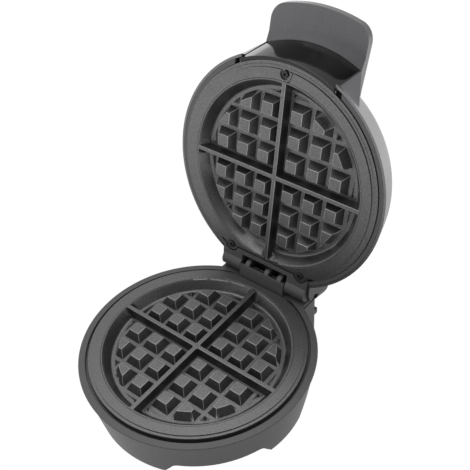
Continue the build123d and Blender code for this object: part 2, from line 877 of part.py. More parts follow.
export_step(placed(lower_fuse_clip.part), "parts/lower_fuse_clip.step")

with BuildPart() as upper_fuse_clip:
    add(above_parting(lower_fuse_clip.part))
upper_fuse_clip.part.label = "upper_fuse_clip"
export_step(opened(upper_fuse_clip.part), "parts/upper_fuse_clip.step")

# Terminal block on the bottom cover
with BuildPart() as terminal_block:
    with Locations((0, block_y, housing_floor + block_height / 2)):
        Box(block_length, block_width, block_height)
    fillet(terminal_block.edges().filter_by(Axis.Z), 1.5)
    with BuildSketch(Plane.XY.offset(housing_floor + block_height)):
        with Locations((0, block_y)):
            with GridLocations(block_length / 3, 1, 3, 1):
                Circle(block_hole)
    extrude(amount=-block_hole_depth, mode=Mode.SUBTRACT)
terminal_block.part.label = "terminal_block"
export_step(placed(terminal_block.part), "parts/terminal_block.step")

with BuildPart() as terminal_screws:
    with BuildSketch(Plane.XY.offset(housing_floor + block_height - block_hole_depth)):
        with Locations((0, block_y)):
            with GridLocations(block_length / 3, 1, 3, 1):
                Circle(block_hole - 0.2)
    extrude(amount=block_hole_depth - 1)
terminal_screws.part.label = "terminal_screws"
export_step(placed(terminal_screws.part), "parts/terminal_screws.step")

# Cord gland in the rear wall, and the clamp inside
with BuildPart() as cord_gland:
    with BuildSketch(Plane.XZ.offset(-housing_rear)):
        with Locations((0, gland_rise)):
            Circle(gland_flange)
    extrude(amount=-gland_flange_thickness)
    fillet(cord_gland.edges().sort_by(Axis.Y)[-1], 0.8)
    with BuildSketch(Plane.XZ.offset(-housing_rear)):
        with Locations((0, gland_rise)):
            Circle(gland_radius)
    extrude(amount=housing_wall)
    with BuildSketch(Plane.XZ.offset(-housing_rear + housing_wall)):
        with Locations((0, gland_rise)):
            Circle(gland_flange - 0.6)
    extrude(amount=gland_flange_thickness)
    with BuildSketch(Plane.XZ.offset(-housing_rear - gland_flange_thickness)):
        with Locations((0, gland_rise)):
            Circle(gland_bore)
    extrude(amount=housing_wall + 2 * gland_flange_thickness, mode=Mode.SUBTRACT)
cord_gland.part.label = "cord_gland"
export_step(placed(cord_gland.part), "parts/cord_gland.step")

clamp_bottom = flange_top + clamp_post_height
with BuildPart() as cord_clamp:
    with BuildSketch(Plane.XY.offset(clamp_bottom)):
        with Locations((0, clamp_y)):
            RectangleRounded(clamp_length, clamp_width, 2)
        with Locations((-clamp_post_x, clamp_y), (clamp_post_x, clamp_y)):
            Circle(hole_radius, mode=Mode.SUBTRACT)
    extrude(amount=clamp_thickness)
cord_clamp.part.label = "cord_clamp"
export_step(placed(cord_clamp.part), "parts/cord_clamp.step")

with BuildPart() as clamp_screws:
    for x in (-clamp_post_x, clamp_post_x):
        spot = (x, clamp_y, clamp_bottom + clamp_thickness)
        length = clamp_thickness + clamp_post_height - 1
        add(screw(spot, (0, 0, 1), screw_radius, length, screw_head, screw_head_height))
clamp_screws.part.label = "clamp_screws"
export_step(placed(clamp_screws.part), "parts/clamp_screws.step")

# Lid frame: ring round the upper plate, with the slotted hinge panel and the arms
lip_z = rim_height + lip_rise
panel_z = rim_height + panel_rise
upper_ledge = upper_rim + plate_skirt_depth
slot_reach = hinge_y + barrel_radius - slot_front + 1
with BuildPart() as lid_frame:
    with BuildSketch(Plane.XZ):
        with BuildLine():
            Polyline(
                (frame_opening, lip_z),
                (lip_split_radius, lip_z),
                (lip_split_radius - wall_lean * (upper_ledge_top - lip_z), upper_ledge_top),
                (ledge_radius, upper_ledge_top),
                (ledge_radius, upper_ledge),
                (frame_opening, upper_ledge),
                close=True,
            )
        make_face()
    revolve(axis=Axis.Z)
    with BuildSketch(Plane.XY.offset(lip_z)):
        with Locations((0, -frame_radius)):
            Rectangle(2 * lip_notch_half_width, 2 * frame_radius)
        Circle(insert_bottom_radius - insert_wall - 1.2, mode=Mode.SUBTRACT)
    extrude(amount=upper_ledge_top - lip_z, mode=Mode.SUBTRACT)
    with BuildSketch(Plane.XY.offset(panel_z)):
        with Locations((0, (panel_front + hinge_y) / 2)):
            Rectangle(2 * panel_half_width, hinge_y - panel_front)
    extrude(amount=upper_ledge_top - panel_z)
    with BuildSketch(Plane.YZ.offset(-panel_half_width)):
        with Locations((hinge_y, hinge_z)):
            Circle(barrel_radius)
    extrude(amount=2 * panel_half_width)
    with BuildSketch(Plane.XY.offset(panel_z)):
        with Locations((-lobe_x, lobe_y), (lobe_x, lobe_y)):
            Circle(lobe_radius + 0.8)
    extrude(amount=upper_ledge - panel_z, mode=Mode.SUBTRACT)
    with BuildSketch(Plane.XY.offset(hinge_z - 2 * barrel_radius)):
        with Locations((0, slot_front + slot_reach / 2)):
            Rectangle(2 * slot_half_width, slot_reach)
    extrude(amount=4 * barrel_radius, mode=Mode.SUBTRACT)
    with BuildSketch(Plane.YZ.offset(-pin_length / 2 - fit_gap)):
        with Locations((hinge_y, hinge_z)):
            Circle(pin_radius + pin_clearance)
    extrude(amount=pin_length + 2 * fit_gap, mode=Mode.SUBTRACT)
    with BuildSketch(Plane.XY.offset(upper_ledge)):
        with Locations(*upper_screw_spots):
            Circle(plate_hole)
        with Locations(*ring_points(shell_screw_circle, (45, 135, 225, 315))):
            Circle(hole_radius)
        with Locations((-tab_place, -tab_y), (tab_place, -tab_y)):
            Circle(hole_radius)
    extrude(amount=ledge_thickness, mode=Mode.SUBTRACT)
lid_frame.part.label = "lid_frame"
export_step(opened(lid_frame.part), "parts/lid_frame.step")


def dome_section(inset):
    """Half section of the lid's dome, its surface moved in by the inset."""
    foot = (lid_radius - inset + 2 * inset * wall_lean, lip_z - 2 * inset)
    wall_top = (wall_top_radius - inset, rim_height + lid_wall_rise)
    shoulder = (shoulder_radius - 0.6 * inset, rim_height + shoulder_rise - 0.8 * inset)
    crown = (0, rim_height + crown_rise - inset)
    bulge = (lid_radius - bulge_inset - 0.83 * inset, rim_height + bulge_rise - 0.5 * inset)
    cap = (shoulder[0] ** 2 + (crown[1] - shoulder[1]) ** 2) / 2 / (crown[1] - shoulder[1])
    rise = (shoulder[0] / 2, crown[1] - cap + math.sqrt(cap**2 - shoulder[0] ** 2 / 4))
    with BuildSketch(Plane.XZ) as section:
        with BuildLine():
            Polyline((0, foot[1]), foot, wall_top)
            ThreePointArc(wall_top, bulge, shoulder)
            ThreePointArc(shoulder, rise, crown)
            Line(crown, (0, foot[1]))
        make_face()
    return section.sketch


# Hollow of the dome
with BuildPart() as dome_room:
    add(dome_section(shell_wall))
    revolve(axis=Axis.Z)

# Handle root: the cheeks on both sides of the dark wall
insert_top = rim_height + insert_top_rise
with BuildPart() as handle_block:
    with BuildSketch(Plane.XZ):
        with BuildLine():
            Polyline(
                (handle_root, lip_z + 1),
                (insert_bottom_radius + jamb_proud, lip_z + 1),
                (insert_top_radius + jamb_proud, insert_top),
                (insert_top_radius + jamb_proud, rim_height + handle_root_rise),
                (handle_root, rim_height + handle_root_rise),
                close=True,
            )
        make_face()
    revolve(axis=Axis.Z)
    with BuildSketch(Plane.XZ.offset(handle_root_y)):
        with BuildLine():
            Polyline(
                (cheek_half_width, lip_z),
                (cheek_half_width, rim_height + cheek_rise),
                (visor_half_width, insert_top),
                (visor_half_width - 0.4, rim_height + visor_tip_top),
                (-visor_half_width + 0.4, rim_height + visor_tip_top),
                (-visor_half_width, insert_top),
                (-cheek_half_width, rim_height + cheek_rise),
                (-cheek_half_width, lip_z),
                close=True,
            )
        make_face()
    extrude(amount=visor_radius, mode=Mode.INTERSECT)
    add(dome_room.part, mode=Mode.SUBTRACT)

# Jambs beside the dark wall, down to the lip
jamb_inner = insert_bottom_radius - insert_wall - 1.2
jamb_outer = visor_half_width - jamb_inset
with BuildPart() as jambs:
    with BuildSketch(Plane.XZ):
        with BuildLine():
            Polyline(
                (jamb_inner, lip_z),
                (insert_bottom_radius + jamb_proud / 2, lip_z),
                (insert_top_radius + jamb_proud / 2, insert_top + 1),
                (jamb_inner, insert_top + 1),
                close=True,
            )
        make_face()
    revolve(axis=Axis.Z)
    with BuildSketch(Plane.XY.offset(lip_z - 1)):
        for side in (-1, 1):
            with Locations((side * (insert_half_width + jamb_outer) / 2, -jamb_inner)):
                Rectangle(jamb_outer - insert_half_width, jamb_inner)
    extrude(amount=insert_top, mode=Mode.INTERSECT)

# Visor: the brim that the hand takes
with BuildPart() as visor:
    with BuildSketch(Plane.XZ):
        with BuildLine():
            Polyline(
                (visor_root, insert_top + 1.5),
                (insert_top_radius - 4, insert_top + 1.5),
                (insert_top_radius, insert_top),
                (insert_top_radius + visor_bend_reach, rim_height + visor_bend_rise),
                (visor_radius, rim_height + visor_tip_top - visor_tip),
                (visor_radius, rim_height + visor_tip_top),
                (visor_root, rim_height + handle_root_rise - 0.5),
                close=True,
            )
        make_face()
    revolve(axis=Axis.Z)
    with BuildSketch(Plane.XY.offset(insert_top - 1)) as visor_plan:
        Circle(visor_radius)
        with Locations((0, -visor_radius)):
            Rectangle(2 * visor_half_width, visor_radius, mode=Mode.INTERSECT)
        fillet(visor_plan.vertices().group_by(Axis.Y)[0], visor_corner)
    extrude(amount=20, mode=Mode.INTERSECT)

# Rear cover over the hinge, drawn as plan and profile
stop_y = housing_rear - hinge_y + stop_gap


def clear_of_rear(dy):
    """Lowest height, from the hinge, that clears the rear wall when the lid is open."""
    return (stop_y - dy * math.cos(swing)) / math.sin(swing)


corner_angle = open_angle - math.degrees(math.atan2(hinge_z - frame_top, stop_y))
cut_angle = math.radians(corner_angle + 1.0)
near = barrel_radius + barrel_clearance
far_y = stop_y * 0.46
far = (hinge_y + far_y, hinge_z + clear_of_rear(far_y) + 0.2)
rear_low = (hump_rear - 1.0, hinge_z + clear_of_rear(hump_rear - 1.0 - hinge_y))
with BuildPart() as hump_room:
    with BuildSketch(Plane.XY.offset(lip_z - 5)) as room_plan:
        with Locations((0, (hump_root + hump_rear - shell_wall) / 2)):
            Rectangle(2 * (hump_half_width - hump_wall), hump_rear - shell_wall - hump_root)
        fillet(room_plan.vertices().group_by(Axis.Y)[-1], hump_corner - shell_wall)
    extrude(amount=crown_rise)
    with BuildSketch(Plane.YZ.offset(-hump_half_width)):
        with BuildLine():
            Polyline(
                (hump_root, lip_z - 5),
                (hinge_y - 1, lip_z - 5),
                (hinge_y - 1, hinge_z + near + 1.5),
                (far[0] - 3.2, far[1] + 2.0),
                (rear_low[0] - shell_wall, rear_low[1] + shell_wall),
                (hump_rear - 4 - shell_wall, rim_height + 38 - shell_wall + 0.5),
                (hump_rear - 20, rim_height + hump_top_rise - 1.6 - shell_wall),
                (shoulder_radius + 3, rim_height + hump_top_rise - shell_wall),
                (hump_root, rim_height + hump_root_rise - shell_wall),
                close=True,
            )
        make_face()
    extrude(amount=2 * hump_half_width, mode=Mode.INTERSECT)

with BuildPart() as hump:
    with BuildSketch(Plane.XY.offset(lip_z)) as hump_plan:
        with Locations((0, (hump_root + hump_rear) / 2)):
            Rectangle(2 * hump_half_width, hump_rear - hump_root)
        fillet(hump_plan.vertices().group_by(Axis.Y)[-1], hump_corner)
    extrude(amount=crown_rise)
    with BuildSketch(Plane.YZ.offset(-hump_half_width - 1)):
        with BuildLine():
            Polyline(
                (hump_root, lip_z),
                (hinge_y - 6, lip_z),
                (hinge_y, hinge_z - barrel_radius + 6.0),
                (hinge_y + near * math.cos(0.2), hinge_z + near * math.sin(0.2)),
            )
            ThreePointArc(
                (hinge_y + near * math.cos(0.2), hinge_z + near * math.sin(0.2)),
                (hinge_y + near * math.cos(0.7), hinge_z + near * math.sin(0.7)),
                (hinge_y + near * math.cos(cut_angle), hinge_z + near * math.sin(cut_angle)),
            )
            Polyline(
                (hinge_y + near * math.cos(cut_angle), hinge_z + near * math.sin(cut_angle)),
                far,
                rear_low,
                (hump_rear, rear_low[1] + 3),
                (hump_rear - 4, rim_height + 38),
            )
            ThreePointArc(
                (hump_rear - 4, rim_height + 38),
                (hump_rear - 20, rim_height + hump_top_rise - 1.6),
                (shoulder_radius + 3, rim_height + hump_top_rise),
            )
            Polyline(
                (shoulder_radius + 3, rim_height + hump_top_rise),
                (hump_root, rim_height + hump_root_rise),
                (hump_root, lip_z),
            )
        make_face()
    extrude(amount=2 * hump_half_width + 2, mode=Mode.INTERSECT)
    add(dome_room.part, mode=Mode.SUBTRACT)
    add(hump_room.part, mode=Mode.SUBTRACT)

# Lid shell: dome, handle and rear cover in one moulding
shell_boss_top = rim_height + shell_boss_rise
shell_boss_spots = ring_points(shell_screw_circle, (45, 135, 225, 315))
lamp_spots = [(-lamp_x, lamp_y), (lamp_x, lamp_y)]
holder_spots = [(-holder_post_x, lamp_y), (holder_post_x, lamp_y)]
lens_seat = rim_height + lens_seat_rise
holder_top = lens_seat - lens_flange_height - lamp_length
with BuildPart() as lid_shell:
    add(dome_section(0))
    revolve(axis=Axis.Z)
    add(dome_room.part, mode=Mode.SUBTRACT)
    add(hump_room.part, mode=Mode.SUBTRACT)
    add(handle_block.part)
    add(visor.part)
    add(hump.part)
    with BuildSketch(Plane.YZ.offset(-hump_half_width + hump_wall)):
        with Locations((hinge_y, hinge_z)):
            Circle(near)
    extrude(amount=2 * (hump_half_width - hump_wall), mode=Mode.SUBTRACT)
    add(jambs.part)
    with BuildSketch(Plane.XY.offset(panel_z - 1)):
        with Locations((0, -insert_bottom_radius)):
            Rectangle(2 * (insert_half_width + fit_gap / 2), 2 * (insert_bottom_radius - ledge_radius))
    extrude(amount=insert_top - panel_z + 1, mode=Mode.SUBTRACT)
    # bosses of the shell screws, the lens seats and the lamp holder posts
    with BuildSketch(Plane.XY.offset(upper_ledge_top)):
        with Locations(*shell_boss_spots):
            Circle(boss_radius)
    extrude(amount=shell_boss_top - upper_ledge_top)
    with BuildSketch(Plane.XY.offset(lens_seat)):
        with Locations(*lamp_spots):
            Circle(lens_flange + 1)
    extrude(amount=crown_rise - lens_seat_rise - shell_wall / 2)
    with BuildSketch(Plane.XY.offset(holder_top)):
        with Locations(*holder_spots):
            Circle(holder_post_radius)
    extrude(amount=rim_height + crown_rise - shell_wall / 2 - holder_top)
    with BuildSketch(Plane.XY.offset(upper_ledge_top)):
        with Locations(*shell_boss_spots):
            Circle(hole_radius)
    extrude(amount=frame_screw_grip, mode=Mode.SUBTRACT)
    with BuildSketch(Plane.XY.offset(holder_top)):
        with Locations(*holder_spots):
            Circle(hole_radius)
    extrude(amount=post_grip, mode=Mode.SUBTRACT)
    with BuildSketch(Plane.XY.offset(lens_seat)):
        with Locations(*lamp_spots):
            Circle(lens_radius + pin_clearance)
    extrude(amount=20, mode=Mode.SUBTRACT)
lid_shell.part.label = "lid_shell"
export_step(opened(lid_shell.part), "parts/lid_shell.step")

# Screws that hold the shell to the lid frame
with BuildPart() as shell_screws:
    for x, y in shell_boss_spots:
        spot = (x, y, upper_ledge)
        length = ledge_thickness + frame_screw_grip - 1
        add(screw(spot, (0, 0, -1), screw_radius, length, screw_head, screw_head_height))
shell_screws.part.label = "shell_screws"
export_step(opened(shell_screws.part), "parts/shell_screws.step")

# Dark curved wall of the handle, with its two tabs on the lid frame
with BuildPart() as handle_insert:
    with BuildSketch(Plane.XZ):
        with BuildLine():
            Polyline(
                (insert_bottom_radius - insert_wall, panel_z),
                (insert_bottom_radius, panel_z),
                (insert_top_radius, insert_top - fit_gap / 2),
                (insert_top_radius - insert_wall, insert_top - fit_gap / 2),
                close=True,
            )
        make_face()
    revolve(axis=Axis.Z)
    with BuildSketch(Plane.XY.offset(panel_z)):
        with Locations((0, -visor_radius / 2)):
            Rectangle(2 * insert_half_width, visor_radius)
    extrude(amount=insert_top - panel_z, mode=Mode.INTERSECT)
    with BuildSketch(Plane.XY.offset(upper_ledge_top)):
        with Locations((-tab_place, -tab_y), (tab_place, -tab_y)):
            Rectangle(tab_width, tab_length)
        with Locations((-tab_place, -tab_y - tab_length / 2), (tab_place, -tab_y - tab_length / 2)):
            Rectangle(tab_width, tab_length)
        with Locations((-tab_place, -tab_y), (tab_place, -tab_y)):
            Circle(hole_radius, mode=Mode.SUBTRACT)
    extrude(amount=insert_wall)
handle_insert.part.label = "handle_insert"
export_step(opened(handle_insert.part), "parts/handle_insert.step")

with BuildPart() as insert_screws:
    for x in (-tab_place, tab_place):
        spot = (x, -tab_y, upper_ledge_top + insert_wall)
        length = insert_wall + ledge_thickness
        add(screw(spot, (0, 0, 1), screw_radius, length, screw_head, screw_head_height))
insert_screws.part.label = "insert_screws"
export_step(opened(insert_screws.part), "parts/insert_screws.step")

# Two lenses in the top of the lid, their lamps and the holder behind them
for name, place in (("power_lens", lamp_spots[0]), ("ready_lens", lamp_spots[1])):
    with BuildPart() as lens:
        with BuildSketch(Plane.XY.offset(lens_seat - lens_flange_height)):
            with Locations(place):
                Circle(lens_flange)
        extrude(amount=lens_flange_height)
        with BuildSketch(Plane.XY.offset(lens_seat)):
            with Locations(place):
                Circle(lens_radius)
        extrude(amount=crown_rise + lens_proud - lens_seat_rise)
        fillet(lens.edges().group_by(Axis.Z)[-1], 0.8)
    lens.part.label = name
    export_step(opened(lens.part), f"parts/{name}.step")

with BuildPart() as pilot_lamps:
    with BuildSketch(Plane.XY.offset(holder_top)):
        with Locations(*lamp_spots):
            Circle(lamp_radius)
    extrude(amount=lamp_length)
    fillet(pilot_lamps.edges().group_by(Axis.Z)[-1], 1.0)
pilot_lamps.part.label = "pilot_lamps"
export_step(opened(pilot_lamps.part), "parts/pilot_lamps.step")

with BuildPart() as lamp_holder:
    with BuildSketch(Plane.XY.offset(holder_top - holder_sheet)):
        with Locations((0, lamp_y)):
            SlotCenterToCenter(2 * holder_post_x, holder_width)
        with Locations(*holder_spots):
            Circle(hole_radius, mode=Mode.SUBTRACT)
    extrude(amount=holder_sheet)
lamp_holder.part.label = "lamp_holder"
export_step(opened(lamp_holder.part), "parts/lamp_holder.step")

with BuildPart() as holder_screws:
    for x, y in holder_spots:
        spot = (x, y, holder_top - holder_sheet)
        length = holder_sheet + post_grip - 1
        add(screw(spot, (0, 0, -1), screw_radius, length, screw_head, screw_head_height))
holder_screws.part.label = "holder_screws"
export_step(opened(holder_screws.part), "parts/holder_screws.step")
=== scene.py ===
# %% [markdown]
# # A round waffle maker, dressed for the studio
# The shapes come from the CAD frame: two cast plates with rows of pegs, a tub
# with a ring round it, and a lid that swings on a pin. What is left for Blender
# is what the eye reads first: the non-stick coating, the satin paint, the softened
# edges with their painted highlights, the cross recesses of the screws, and the light.

# %% Load the frame
import json
import math

import bmesh
import bpy
from mathutils import Matrix, Vector

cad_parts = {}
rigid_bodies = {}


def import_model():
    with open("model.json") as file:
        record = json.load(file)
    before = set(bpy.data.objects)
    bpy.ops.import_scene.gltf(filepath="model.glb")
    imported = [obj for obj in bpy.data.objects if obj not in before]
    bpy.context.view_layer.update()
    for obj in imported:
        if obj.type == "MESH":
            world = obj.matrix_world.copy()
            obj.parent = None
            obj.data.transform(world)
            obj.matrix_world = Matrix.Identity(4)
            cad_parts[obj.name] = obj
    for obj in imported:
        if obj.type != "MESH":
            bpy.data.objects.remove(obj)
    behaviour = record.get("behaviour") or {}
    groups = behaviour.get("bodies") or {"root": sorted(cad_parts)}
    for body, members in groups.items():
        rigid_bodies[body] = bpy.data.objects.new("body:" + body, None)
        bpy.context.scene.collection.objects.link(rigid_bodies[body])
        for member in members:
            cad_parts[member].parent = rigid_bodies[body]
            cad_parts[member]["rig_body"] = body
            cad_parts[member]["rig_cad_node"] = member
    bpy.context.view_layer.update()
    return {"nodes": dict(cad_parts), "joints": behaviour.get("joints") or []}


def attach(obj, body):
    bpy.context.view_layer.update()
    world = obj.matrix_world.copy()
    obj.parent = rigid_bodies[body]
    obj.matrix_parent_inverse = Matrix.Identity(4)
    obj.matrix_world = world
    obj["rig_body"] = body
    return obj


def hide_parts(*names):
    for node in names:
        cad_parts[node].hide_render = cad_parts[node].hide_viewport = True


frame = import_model()
MM = 0.001
PLATES_Y = -48.294  # the middle of the plates, in millimetres from the origin
RIM_Z = 58.7  # the rim of the lower plate, in millimetres above the table
hinge = frame["joints"][0]
print("frame:", len(frame["nodes"]), "nodes; joint", hinge["name"], hinge["range_deg"])

# %% [markdown]
# ## Small helpers
# Colours are picked as sRGB hex, the way a paint chip is read on a screen, and
# Cycles wants linear light, so one function converts them. One function adds a
# shader node with its settings and its incoming links. Every object is deselected
# before an operator runs, because an operator acts on all that is selected, and a
# finished piece has its place in its mesh.


# %% Colour, node and selection helpers
def paint(code):
    """Linear RGBA of an sRGB hex code."""
    parts = [int(code[i : i + 2], 16) / 255 for i in (1, 3, 5)]
    return [c / 12.92 if c <= 0.04045 else ((c + 0.055) / 1.055) ** 2.4 for c in parts] + [1.0]


def add_node(tree, kind, settings=None, **links):
    """Adds a shader node: settings by attribute or socket name, links by socket name."""
    made = tree.nodes.new(kind)
    for name, value in (settings or {}).items():
        if name in made.inputs:
            made.inputs[name].default_value = value
        else:
            setattr(made, name, value)
    for name, source in links.items():
        tree.links.new(source, made.inputs[name.replace("_", " ")])
    return made


def only(*chosen):
    """Selects these objects alone, the last one active."""
    bpy.ops.object.select_all(action="DESELECT")
    for thing in chosen:
        thing.select_set(True)
    bpy.context.view_layer.objects.active = chosen[-1]


def settle():
    """Moves the selected object's place, turn and size into its mesh."""
    bpy.ops.object.transform_apply(location=True, rotation=True, scale=True)


# BASE_PLACE carries millimetres from the middle of the lower rim into the frame.
# LID_PLACE does the same for a point drawn on the closed lid, and swings it open.
BASE_PLACE = Matrix.Translation(Vector((0, PLATES_Y, RIM_Z)) * MM) @ Matrix.Scale(MM, 4)
pivot = Matrix.Translation(Vector(hinge["pos_m"]))
swing = Matrix.Rotation(-math.radians(hinge["range_deg"][1]), 4, Vector(hinge["axis"]))
LID_PLACE = pivot @ swing @ pivot.inverted() @ BASE_PLACE


# %% [markdown]
# ## The camera
# The photograph looks down on the open plates from the front right. The plates are
# true circles and the pegs stand on a square grid, so their places in the picture
# give the camera: its distance, its tilt, a small roll, and a lens that is shifted
# because the picture is a crop.

# %% Place the camera
AZIMUTH = math.radians(44.78)
ELEVATION = math.radians(45.33)
ROLL = math.radians(-6.97)
CAMERA_PLACE = BASE_PLACE @ Vector((361.26, -344.73, 573.05))
FOCAL_PIXELS = 777.95
PICTURE_PIXELS = 470
OPTICAL_CENTRE = (204.50, 295.07)

back = Vector(
    (
        math.sin(AZIMUTH) * math.cos(ELEVATION),
        -math.cos(AZIMUTH) * math.cos(ELEVATION),
        math.sin(ELEVATION),
    )
)
level_right = Vector((math.cos(AZIMUTH), math.sin(AZIMUTH), 0))
level_up = back.cross(level_right)
right = math.cos(ROLL) * level_right + math.sin(ROLL) * level_up
up = math.cos(ROLL) * level_up - math.sin(ROLL) * level_right
camera_data = bpy.data.cameras.new("photo_camera")
camera = bpy.data.objects.new("photo_camera", camera_data)
bpy.context.scene.collection.objects.link(camera)
turn = Matrix((right, up, back)).transposed().to_4x4()
camera.matrix_world = Matrix.Translation(CAMERA_PLACE) @ turn
camera_data.lens = camera_data.sensor_width * FOCAL_PIXELS / PICTURE_PIXELS
camera_data.shift_x = (PICTURE_PIXELS / 2 - OPTICAL_CENTRE[0]) / PICTURE_PIXELS
camera_data.shift_y = (OPTICAL_CENTRE[1] - PICTURE_PIXELS / 2) / PICTURE_PIXELS
camera_data.clip_end = 20
bpy.context.scene.camera = camera
print("camera:", [round(c, 3) for c in camera.location], "lens", round(camera_data.lens, 2))

# %% [markdown]
# ## Non-stick coating
# The plates are die-cast aluminium with a sprayed PTFE coat. Mica in the coat gives
# it a half-metallic sheen with a fine grain, so flat tops that mirror the studio
# look mid grey while the walls between the pegs, which mirror each other, fall
# almost to black. A partly metallic Principled shader gives just that. The grain
# is about 0.3 mm on the real coat and is drawn at 0.8 mm so that it shows.


# %% Make the coating
def new_finish(name):
    """A node material with only its Principled shader and its output."""
    made = bpy.data.materials.new(name)
    made.use_nodes = True
    tree = made.node_tree
    tree.nodes.clear()
    shader = add_node(tree, "ShaderNodeBsdfPrincipled")
    add_node(tree, "ShaderNodeOutputMaterial", Surface=shader.outputs["BSDF"])
    return made, tree, shader


def grain(tree, size_mm, detail=2.0, rough=0.6):
    """Noise on object coordinates: a cell is two grains of about size_mm each."""
    place = add_node(tree, "ShaderNodeTexCoord")
    return add_node(
        tree,
        "ShaderNodeTexNoise",
        {"Scale": 1 / (2 * size_mm * MM), "Detail": detail, "Roughness": rough},
        Vector=place.outputs["Object"],
    )


def tinted(tree, shader, source, dark, light, low=0.35, high=0.65):
    """Base colour that runs between two paints with a noise."""
    blend = add_node(tree, "ShaderNodeValToRGB", Fac=source.outputs["Fac"])
    blend.color_ramp.elements[0].position = low
    blend.color_ramp.elements[0].color = paint(dark)
    blend.color_ramp.elements[1].position = high
    blend.color_ramp.elements[1].color = paint(light)
    tree.links.new(blend.outputs["Color"], shader.inputs["Base Color"])


def roughened(tree, shader, source, low, high):
    """Roughness that runs between two values with a noise."""
    spread = add_node(
        tree, "ShaderNodeMapRange", {"To Min": low, "To Max": high}, Value=source.outputs["Fac"]
    )
    tree.links.new(spread.outputs["Result"], shader.inputs["Roughness"])


def bumped(tree, shader, source, height_mm, strength=1.0):
    """Bump of a height in millimetres."""
    bump = add_node(
        tree,
        "ShaderNodeBump",
        {"Strength": strength, "Distance": height_mm * MM},
        Height=source.outputs["Fac"],
    )
    tree.links.new(bump.outputs["Normal"], shader.inputs["Normal"])


coating, tree, shader = new_finish("PTFE coating on die-cast aluminium")
shader.inputs["Metallic"].default_value = 0.92
fine = grain(tree, 0.6, 3.0, 0.7)
tinted(tree, shader, fine, "#565657", "#7b7b7c", 0.3, 0.72)
roughened(tree, shader, grain(tree, 6.0), 0.34, 0.42)
bumped(tree, shader, fine, 0.02, 0.45)

# The rounded edges of the coat take a lighter, smoother finish: a painted highlight that shows
# as a thin bright line along each rim.
edge_highlight_coat, tree, shader = new_finish("PTFE coating with a painted edge highlight")
shader.inputs["Metallic"].default_value = 0.4
tinted(tree, shader, grain(tree, 3.0), "#9c9c9d", "#b0b0b1", 0.3, 0.7)
roughened(tree, shader, grain(tree, 6.0), 0.26, 0.34)
print("finishes:", coating.name, "and", edge_highlight_coat.name)

# %% [markdown]
# ## Painted and moulded plastics
# The tub and the lid are ABS with a grey metallic paint: satin, even, with flakes
# too fine to see and a faint orange peel. The ring, the hinge panel and the hinge
# block are moulded heat-proof PBT with a spark-eroded grain. The curved wall of the
# handle is polished ABS, nearly a black mirror.

# %% Make the plastics
satin, tree, shader = new_finish("metallic paint on ABS")
shader.inputs["Metallic"].default_value = 0.7
flakes = grain(tree, 0.7, 2.0, 0.6)
tinted(tree, shader, flakes, "#68686a", "#727274", 0.3, 0.7)
roughened(tree, shader, grain(tree, 14.0, 1.0), 0.22, 0.28)
bumped(tree, shader, grain(tree, 2.2, 1.0), 0.012, 0.35)

moulded, tree, shader = new_finish("spark-grained PBT")
shader.inputs["IOR"].default_value = 1.5
erosion = grain(tree, 0.7, 3.0, 0.65)
tinted(tree, shader, erosion, "#4b4b4c", "#585859", 0.3, 0.7)
roughened(tree, shader, grain(tree, 9.0, 1.0), 0.34, 0.42)
bumped(tree, shader, erosion, 0.03, 0.5)

polished, tree, shader = new_finish("polished black ABS")
shader.inputs["IOR"].default_value = 1.42
tinted(tree, shader, grain(tree, 20.0, 1.0), "#060607", "#09090a")
roughened(tree, shader, grain(tree, 12.0, 1.0), 0.07, 0.11)
bumped(tree, shader, grain(tree, 5.0, 1.0), 0.01, 0.2)
print("finishes:", satin.name, moulded.name, polished.name)

# %% [markdown]
# ## The small metals, ceramics and rubbers
# Most of these sit inside and show only when the maker is opened. Each still starts
# from its real stuff: bright zinc on the screws, heat-darkened steel on the element
# tubes, rolled aluminised sheet on the reflectors, brass in the terminals, steatite
# for the thermostat and the block, nylon, silicone rubber and tinted polycarbonate.

# %% Make the small finishes
SMALL_FINISHES = {
    # name: dark, light, metallic, roughness low and high, grain mm, bump mm
    "zinc-plated steel": ("#8f8f8c", "#b4b4b0", 1.0, 0.26, 0.38, 1.2, 0.006),
    "black-oxide steel": ("#343435", "#4c4c4d", 0.9, 0.34, 0.44, 0.8, 0.006),
    "heat-darkened nickel steel": ("#4d4844", "#6f675f", 0.9, 0.36, 0.5, 4.0, 0.01),
    "aluminised sheet": ("#a3a4a5", "#c3c4c5", 1.0, 0.22, 0.34, 3.0, 0.008),
    "spring steel": ("#7f7f7e", "#9a9a99", 1.0, 0.24, 0.34, 1.5, 0.005),
    "brass": ("#a5853c", "#c7a658", 1.0, 0.22, 0.34, 1.5, 0.006),
    "steatite ceramic": ("#cbc6b8", "#ddd9cc", 0.0, 0.45, 0.6, 0.8, 0.02),
    "moulded black nylon": ("#141415", "#1d1d1e", 0.0, 0.42, 0.55, 0.8, 0.02),
    "silicone rubber": ("#1b1b1c", "#262627", 0.0, 0.6, 0.75, 0.9, 0.02),
}
small = {}
for name, (dark, light, metallic, low, high, size, height) in SMALL_FINISHES.items():
    small[name], tree, shader = new_finish(name)
    shader.inputs["Metallic"].default_value = metallic
    pattern = grain(tree, size, 2.0)
    tinted(tree, shader, pattern, dark, light)
    roughened(tree, shader, pattern, low, high)
    bumped(tree, shader, pattern, height, 0.5)

for name, code, dim in (
    ("red polycarbonate", "#c8221c", "#8e1512"),
    ("green polycarbonate", "#2f9d3d", "#1f6d2a"),
    ("lamp glass", "#e8e6df", "#d2cfc6"),
):
    small[name], tree, shader = new_finish(name)
    shader.inputs["Transmission Weight"].default_value = 0.6
    shader.inputs["IOR"].default_value = 1.58 if "poly" in name else 1.5
    pattern = grain(tree, 3.0, 1.0)
    tinted(tree, shader, pattern, dim, code)
    roughened(tree, shader, pattern, 0.08, 0.16)
print("small finishes:", len(small))

# %% [markdown]
# ## Dress the CAD nodes
# Each node keeps its shape and takes its finish. The table below reads like a parts
# list: what a piece is, and what it is made of.

